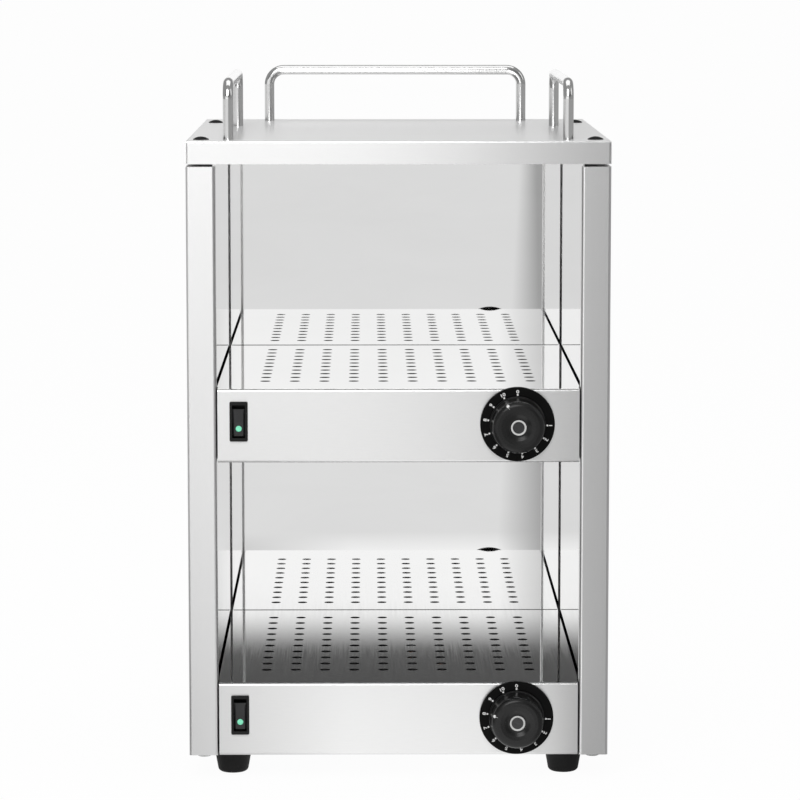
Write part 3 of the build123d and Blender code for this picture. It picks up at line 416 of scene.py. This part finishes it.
def assign(material, *names):
    for name in names:
        data = nodes[name].data
        data.materials.clear()
        data.materials.append(material)


def place_in_scene(name, data):
    """A new object in the scene, from mesh, lamp, camera or text data."""
    piece = bpy.data.objects.new(name, data)
    bpy.context.scene.collection.objects.link(piece)
    return piece


def both(*names):
    """The same part on both shelves."""
    return [f"{shelf}_{name}" for shelf in SHELVES for name in names]


def dress_cad_nodes():
    upright_grain = brushed_steel("steel_upright_grain", "Z")
    level_grain = brushed_steel("steel_level_grain", "X")
    assign(upright_grain, "side_panel_left", "side_panel_right", "rear_cover")
    assign(level_grain, "top_tray")
    assign(deck_steel("steel_deck"), *both("shelf_deck"))
    assign(polished_steel("steel_polished"), "side_liner_left", "side_liner_right",
           "back_liner", "ceiling_panel")
    rod = polished_steel("steel_rod", 0.80, (0.13, 0.18), 0.0)
    assign(rod, "rail_left", "rail_right", "rail_rear")
    assign(plain_metal("zinc", (0.70, 0.71, 0.70), 0.28), "rail_washers", "rail_screws", "top_screws",
           "base_screws", "shelf_screws", "rear_cover_screws", "foot_screws", "thermostat_screws",
           *both("thermostat_shaft"))
    assign(galvanised("galvanised_sheet"), "heater_clips", "sensor_clips",
           *both("shelf_pan", "heat_shield"))
    assign(plain_metal("heater_sheath", (0.40, 0.36, 0.33), 0.45), *both("heater"))
    assign(plain_metal("copper_tube", (0.72, 0.42, 0.28), 0.3), *both("sensor"))
    assign(plain_metal("brass_sheet", (0.80, 0.64, 0.34), 0.3), "terminal_tabs")
    assign(moulded("phenolic", (0.72, 0.69, 0.60), (0.4, 0.5)), "terminal_block",
           *both("thermostat", "thermal_cutout"))
    assign(moulded("gland_plastic", (0.030, 0.030, 0.031), (0.38, 0.48)), "cable_gland", "gland_nut")
    assign(cloth_sleeve("glass_sleeve"), "lower_wiring", "upper_wiring")
    assign(moulded("rubber", (0.010, 0.010, 0.010), (0.5, 0.62), 900.0, 0.00005, 0.2),
           "foot_left_front", "foot_left_rear", "foot_right_front", "foot_right_rear")
    assign(moulded("ring_plastic", (0.004, 0.004, 0.004), (0.30, 0.38), level=0.06), *both("dial_ring"))
    assign(moulded("knob_plastic", (0.008, 0.008, 0.008), (0.24, 0.32), level=0.35), *both("knob"))
    assign(moulded("insert_plastic", (0.02, 0.02, 0.021), (0.22, 0.3)), *both("knob_insert"))
    assign(moulded("bezel_plastic", (0.008, 0.008, 0.008), (0.30, 0.40), level=0.25),
           *both("switch_housing"))
    assign(moulded("rocker_plastic", (0.025, 0.025, 0.026), (0.20, 0.28), level=0.4), *both("rocker"))
    assign(moulded("cap_plastic", (0.012, 0.012, 0.012), (0.40, 0.48), level=0.08), "top_screw_caps")
    assign(lamp_glow("lamp_glow"), *both("rocker_lamp"))


# Marks on the dials


def dial_axis(shelf):
    """The middle of the scale ring, and the depth of its front face."""
    low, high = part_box(f"{shelf}_dial_ring")
    return (low.x + high.x) / 2, (low.z + high.z) / 2, low.y


def text_mesh(body_text, size):
    """A number as mesh data, centred on its own middle."""
    curve = bpy.data.curves.new("number", "FONT")
    curve.body = body_text
    curve.size = size
    curve.align_x = "CENTER"
    curve.align_y = "CENTER"
    curve.extrude = PRINT_THICKNESS / 2
    curve.offset = DIAL_NUMBER_BOLDNESS
    curve.resolution_u = 4
    holder = place_in_scene("number", curve)
    bpy.context.view_layer.update()
    graph = bpy.context.evaluated_depsgraph_get()
    mesh = bpy.data.meshes.new_from_object(holder.evaluated_get(graph))
    bpy.data.objects.remove(holder)
    return mesh


def disc_mesh(name, radius, thickness, material, segments=24):
    """A short cylinder with its axis along Y and its face to the front."""
    verts = []
    for y in (0.0, -thickness):
        for step in range(segments):
            angle = 2 * math.pi * step / segments
            verts.append((radius * math.sin(angle), y, radius * math.cos(angle)))
    faces = [tuple(range(segments))[::-1], tuple(range(segments, 2 * segments))]
    for step in range(segments):
        after = (step + 1) % segments
        faces.append((step, after, segments + after, segments + step))
    data = bpy.data.meshes.new(name)
    data.from_pydata(verts, [], faces)
    data.materials.append(material)
    return place_in_scene(name, data)


def add_dial_marks(shelf, paint):
    """A dot and a number, its foot towards the middle, for each place on the scale."""
    centre_x, centre_z, face_y = dial_axis(shelf)
    low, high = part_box(f"{shelf}_dial_ring")
    radius = (high.x - low.x) / 2
    centre = Vector((centre_x, face_y - PRINT_STAND, centre_z))
    for number, degrees in enumerate(DIAL_ANGLES):
        angle = math.radians(degrees)
        outward = Vector((math.sin(angle), 0, math.cos(angle)))
        dot = disc_mesh(f"{shelf}_dial_dot_{number}", DIAL_DOT_RADIUS, PRINT_THICKNESS, paint)
        dot.location = centre + outward * radius * DIAL_DOT_REACH
        finish_mark(dot)
        mesh = text_mesh(str(number), DIAL_NUMBER_SIZE)
        mesh.materials.clear()
        mesh.materials.append(paint)
        widen = Matrix.Diagonal((DIAL_NUMBER_WIDENING, 1.0, 1.0, 1.0))
        turn = Matrix.Rotation(angle, 4, "Y") @ Matrix.Rotation(math.pi / 2, 4, "X")
        move = Matrix.Translation(centre + outward * radius * DIAL_NUMBER_REACH)
        mesh.transform(move @ turn @ widen)
        finish_mark(place_in_scene(f"{shelf}_dial_number_{number}", mesh))


def finish_mark(piece, body="root"):
    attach(piece, body)


def surface_of(node):
    """The node's surface in world coordinates, for laying a mark on it."""
    data = nodes[node].data
    place = nodes[node].matrix_world
    corners = [place @ vertex.co for vertex in data.vertices]
    return BVHTree.FromPolygons(corners, [tuple(polygon.vertices) for polygon in data.polygons])


def drop_outline():
    """A drop: its round end outwards and its tail towards the knob's middle."""
    outline = [(-POINTER_TAIL, 0.0)]
    steps = 18
    for step in range(steps + 1):
        angle = math.radians(-115 + 230 * step / steps)
        outline.append((POINTER_RADIUS * math.cos(angle), POINTER_RADIUS * math.sin(angle)))
    return outline


def pointer_points(shelf):
    """The drop laid on the knob twice, a little outside its surface and a little inside it."""
    centre_x, centre_z, face_y = dial_axis(shelf)
    surface = surface_of(f"{shelf}_knob")
    angle = math.radians(POINTER_ANGLES[shelf])
    outward = Vector((math.sin(angle), 0, math.cos(angle)))
    across = Vector((math.cos(angle), 0, -math.sin(angle)))
    in_front = face_y - 100 * MM
    middle = Vector((centre_x, in_front, centre_z)) + outward * POINTER_DISTANCE
    flat = [(0.0, 0.0)]
    for scale in POINTER_RINGS:
        flat += [(along * scale, side * scale) for along, side in drop_outline()]
    verts = []
    for lift in POINTER_SKIN:
        for along, side in flat:
            hit = surface.ray_cast(middle + outward * along + across * side, Vector((0, 1, 0)))[0]
            verts.append(hit + Vector((0, lift, 0)))
    return verts


def pointer_faces(count, rings):
    """Faces for two layers, each a middle point with rings round it, and the wall between them."""
    layer = 1 + count * rings
    faces = []
    for base, turned in ((0, False), (layer, True)):
        for step in range(count):
            after = (step + 1) % count
            strip = [(base, base + 1 + after, base + 1 + step)]
            for ring in range(rings - 1):
                near = base + 1 + ring * count
                far = near + count
                strip.append((near + step, near + after, far + after, far + step))
            faces += [face[::-1] if turned else face for face in strip]
    rim = 1 + count * (rings - 1)
    for step in range(count):
        after = (step + 1) % count
        faces.append((rim + step, rim + after, layer + rim + after, layer + rim + step))
    return faces


def add_pointer(shelf, paint):
    """The white drop printed on the knob's rounded edge."""
    faces = pointer_faces(len(drop_outline()), len(POINTER_RINGS))
    pointer = closed_mesh(f"{shelf}_pointer", pointer_points(shelf), faces, paint)
    finish_mark(pointer, f"{shelf}_control")


def add_insert_ring(shelf, paint):
    """The pale ring on the rim of the disc in the knob's middle."""
    low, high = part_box(f"{shelf}_knob_insert")
    centre_x, centre_z = (low.x + high.x) / 2, (low.z + high.z) / 2
    bevel, skin = INSERT_RING_BEVEL, INSERT_RING_SKIN
    outer = (high.x - low.x) / 2 - skin
    inner = outer - INSERT_RING_WIDTH
    front = low.y
    outside = [(outer, front + bevel), (outer - bevel, front),
               (inner, front), (inner - bevel, front + bevel)]
    profile = [(reach, y - skin) for reach, y in outside]
    profile += [(reach, y + skin) for reach, y in reversed(outside)]
    count = len(profile)
    segments = 72
    verts = []
    faces = []
    for step in range(segments):
        angle = 2 * math.pi * step / segments
        after = (step + 1) % segments
        for corner, (reach, y) in enumerate(profile):
            verts.append((centre_x + reach * math.sin(angle), y, centre_z + reach * math.cos(angle)))
            nearby = (corner + 1) % count
            faces.append((step * count + corner, step * count + nearby,
                          after * count + nearby, after * count + corner))
    finish_mark(closed_mesh(f"{shelf}_insert_ring", verts, faces, paint), f"{shelf}_control")


def add_liner_edge(shelf, steel):
    """A dark strip painted as shade along the line where the back wall meets the deck."""
    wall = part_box("back_liner")[0]
    deck_low, deck_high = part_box(f"{shelf}_shelf_deck")
    xs = (deck_low.x + SHADE_STRIP_SIDE_GAP, deck_high.x - SHADE_STRIP_SIDE_GAP)
    ys = [wall.y + depth for depth in SHADE_STRIP_DEPTH]
    zs = [deck_high.z + height for height in SHADE_STRIP_HEIGHT]
    verts = [(x, y, z) for x in xs for y in ys for z in zs]
    faces = [(0, 1, 3, 2), (4, 6, 7, 5), (0, 4, 5, 1), (2, 3, 7, 6), (0, 2, 6, 4), (1, 5, 7, 3)]
    piece = closed_mesh(f"{shelf}_shade_strip", verts, faces, steel)
    for polygon in piece.data.polygons:
        polygon.use_smooth = False
    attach(piece, "root")


def closed_mesh(name, verts, faces, material):
    """A smooth-shaded closed mesh whose faces all point outwards."""
    data = bpy.data.meshes.new(name)
    data.from_pydata(verts, [], faces)
    shape = bmesh.new()
    shape.from_mesh(data)
    bmesh.ops.recalc_face_normals(shape, faces=shape.faces)
    for face in shape.faces:
        face.smooth = True
    shape.to_mesh(data)
    shape.free()
    data.materials.append(material)
    return place_in_scene(name, data)


# Stage, lamps and camera


def seen_directly(tree):
    """Two values: 1 for the camera's own rays, and 1 for the rays that metal and glass send on."""
    path = tree.nodes.new("ShaderNodeLightPath")
    sent_on = (path.outputs["Is Glossy Ray"], path.outputs["Is Transmission Ray"])
    return path.outputs["Is Camera Ray"], math_node(tree, "MAXIMUM", *sent_on)


def floor_in_mirrors(tree):
    """How bright metal sees the floor, by place."""
    x, y, _ = separate(tree, object_coords(tree))
    near = spread(tree, x, *FLOOR_NEAR_LEVELS, *FLOOR_NEAR_X)
    is_near = math_node(tree, "MULTIPLY", spread(tree, y, 0, 1, *FLOOR_NEAR_START),
                        spread(tree, y, 1, 0, *FLOOR_NEAR_END))
    left = blend_values(tree, is_near, FLOOR_FAR_LEVEL, near)
    slanted = math_node(tree, "ADD", x, math_node(tree, "MULTIPLY", y, FLOOR_RIGHT_SLANT))
    is_right = spread(tree, slanted, 0, 1, *FLOOR_RIGHT_EDGE)
    return blend_values(tree, is_right, left, FLOOR_RIGHT_LEVEL)


def add_floor():
    """Pale paper that stays white in view and keeps a soft shadow."""
    material, tree, shader = new_material("floor_paper")
    shader.inputs["Base Color"].default_value = (0.88, 0.88, 0.88, 1)
    shader.inputs["Roughness"].default_value = 0.9
    shader.inputs["Specular IOR Level"].default_value = 0.1
    glow = tree.nodes.new("ShaderNodeEmission")
    mix = tree.nodes.new("ShaderNodeMixShader")
    camera, mirror = seen_directly(tree)
    share = math_node(tree, "ADD", math_node(tree, "MULTIPLY", camera, FLOOR_SEEN),
                      math_node(tree, "MULTIPLY", mirror, FLOOR_MIRRORED))
    mirrored = math_node(tree, "MULTIPLY", mirror, floor_in_mirrors(tree))
    tree.links.new(math_node(tree, "ADD", camera, mirrored), glow.inputs["Strength"])
    tree.links.new(share, mix.inputs["Fac"])
    tree.links.new(shader.outputs["BSDF"], mix.inputs[1])
    tree.links.new(glow.outputs["Emission"], mix.inputs[2])
    tree.links.new(mix.outputs["Shader"], tree.nodes["Material Output"].inputs["Surface"])
    data = bpy.data.meshes.new("floor")
    size = FLOOR_SIZE
    data.from_pydata([(-size, -size, 0), (size, -size, 0), (size, size, 0), (-size, size, 0)], [],
                     [(0, 1, 2, 3)])
    data.materials.append(material)
    place_in_scene("floor", data)


def room_in_mirrors(tree):
    """How bright metal sees the room, by direction."""
    x, y, z = separate(tree, coordinates(tree, "Generated"))
    behind = spread(tree, y, SIDE_LEVEL, BEHIND_LEVEL, *BEHIND_EDGE)
    left_screen = spread(tree, z, *SCREEN_LEVELS, *SCREEN_RISE)
    right_screen = math_node(tree, "MULTIPLY", left_screen, SCREEN_RIGHT_LEVEL)
    screen = blend_values(tree, spread(tree, x, 0, 1, *SCREEN_EDGE), left_screen, right_screen)
    above = spread(tree, z, DARK_LEVEL, SIDE_LEVEL, *DARK_RISE)
    front = blend_values(tree, spread(tree, z, 0, 1, *SCREEN_TOP), screen, above)
    return blend_values(tree, spread(tree, y, 1, 0, *FRONT_EDGE), behind, front)


def set_world():
    """A studio that is white in view, even on dull surfaces and shaped in mirrors."""
    world = bpy.data.worlds.new("studio")
    bpy.context.scene.world = world
    world.use_nodes = True
    tree = world.node_tree
    background = tree.nodes["Background"]
    background.inputs["Color"].default_value = (1, 1, 1, 1)
    camera, mirror = seen_directly(tree)
    mirrored = math_node(tree, "MULTIPLY", mirror, room_in_mirrors(tree))
    unseen = math_node(tree, "SUBTRACT", 1.0, math_node(tree, "MAXIMUM", camera, mirror))
    strength = math_node(tree, "ADD", math_node(tree, "ADD", camera, mirrored),
                         math_node(tree, "MULTIPLY", unseen, ROOM_LIGHT))
    tree.links.new(strength, background.inputs["Strength"])


def add_softbox(name, place, size, radiance):
    """A rectangular lamp of even brightness."""
    lamp = bpy.data.lights.new(name, "AREA")
    lamp.shape = "RECTANGLE"
    lamp.size, lamp.size_y = size
    lamp.energy = radiance * math.pi * size[0] * size[1]
    holder = place_in_scene(name, lamp)
    holder.location = place
    direction = Vector(SOFTBOX_AIM) - Vector(place)
    holder.rotation_euler = direction.to_track_quat("-Z", "Y").to_euler()
    holder.visible_camera = False


def add_camera():
    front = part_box("side_panel_left")[0].y
    data = bpy.data.cameras.new("camera")
    data.sensor_width = SENSOR_WIDTH
    data.lens = CAMERA_LENS
    data.clip_end = 100
    camera = place_in_scene("camera", data)
    camera.location = (-CAMERA_LEFT, front - CAMERA_DISTANCE, CAMERA_HEIGHT)
    camera.rotation_euler = (math.pi / 2 - CAMERA_PITCH, 0, -CAMERA_YAW)
    bpy.context.scene.camera = camera


dress_cad_nodes()
white_paint = printed_paint("dial_paint", 0.8)
grey_paint = printed_paint("ring_paint", 0.55)
# Dark metal for the strips of painted shade at the foot of the back wall
shade_strip_metal = plain_metal("painted_shade_strip", (0.32, 0.32, 0.32), 0.5)
for shelf in SHELVES:
    add_dial_marks(shelf, white_paint)
    add_pointer(shelf, white_paint)
    add_insert_ring(shelf, grey_paint)
    # A strip of painted shade where the back wall meets the deck
    add_liner_edge(shelf, shade_strip_metal)
add_floor()
set_world()
for name, (place, size, radiance) in SOFTBOXES.items():
    add_softbox(name, place, size, radiance)
add_camera()
bpy.context.scene.view_settings.view_transform = "Standard"
bpy.context.scene.cycles.glossy_bounces = MIRROR_BOUNCES
